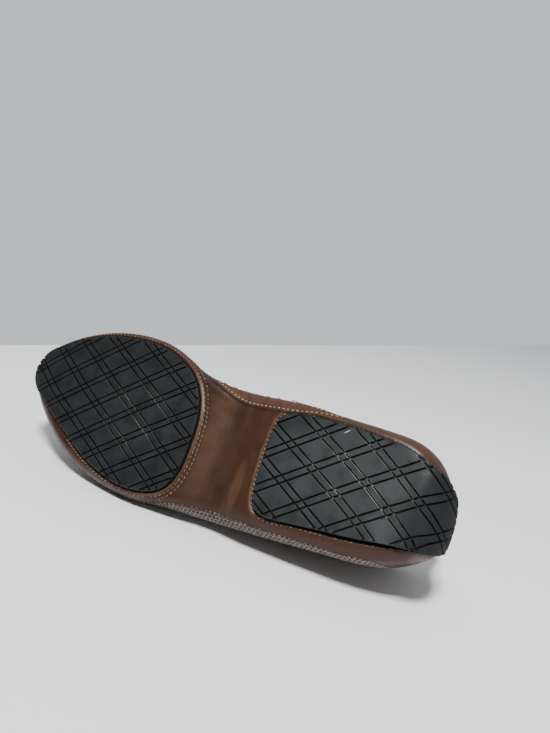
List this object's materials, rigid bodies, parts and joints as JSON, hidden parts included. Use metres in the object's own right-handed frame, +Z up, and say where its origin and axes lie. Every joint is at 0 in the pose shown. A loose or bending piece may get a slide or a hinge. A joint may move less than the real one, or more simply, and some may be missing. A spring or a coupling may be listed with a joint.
{
  "type": "loafer",
  "caption": "Right slip-on loafer lying on its side, with a hollow leather upper, a leather wrap bottom and black rubber tread pads at forefoot and heel.",
  "frame": {"origin": "centre of the bounding box's base, on the floor the shoe lies on", "axes": "toe towards -X, tread towards -Y and a little up, medial side up along +Z"},
  "size_m": [0.2978, 0.0898, 0.0898],
  "materials": {
    "upper": "perforated, satin",
    "leather_bottom": "polished, worn",
    "forefoot_pad": "matt, scuffed",
    "heel_pad": "matt, dusty",
    "insole": "matt"
  },
  "bodies": {
    "root": {"upper": "upper", "leather_bottom": "leather_bottom", "forefoot_pad": "forefoot_pad", "heel_pad": "heel_pad", "insole": "insole"}
  },
  "joints": []
}
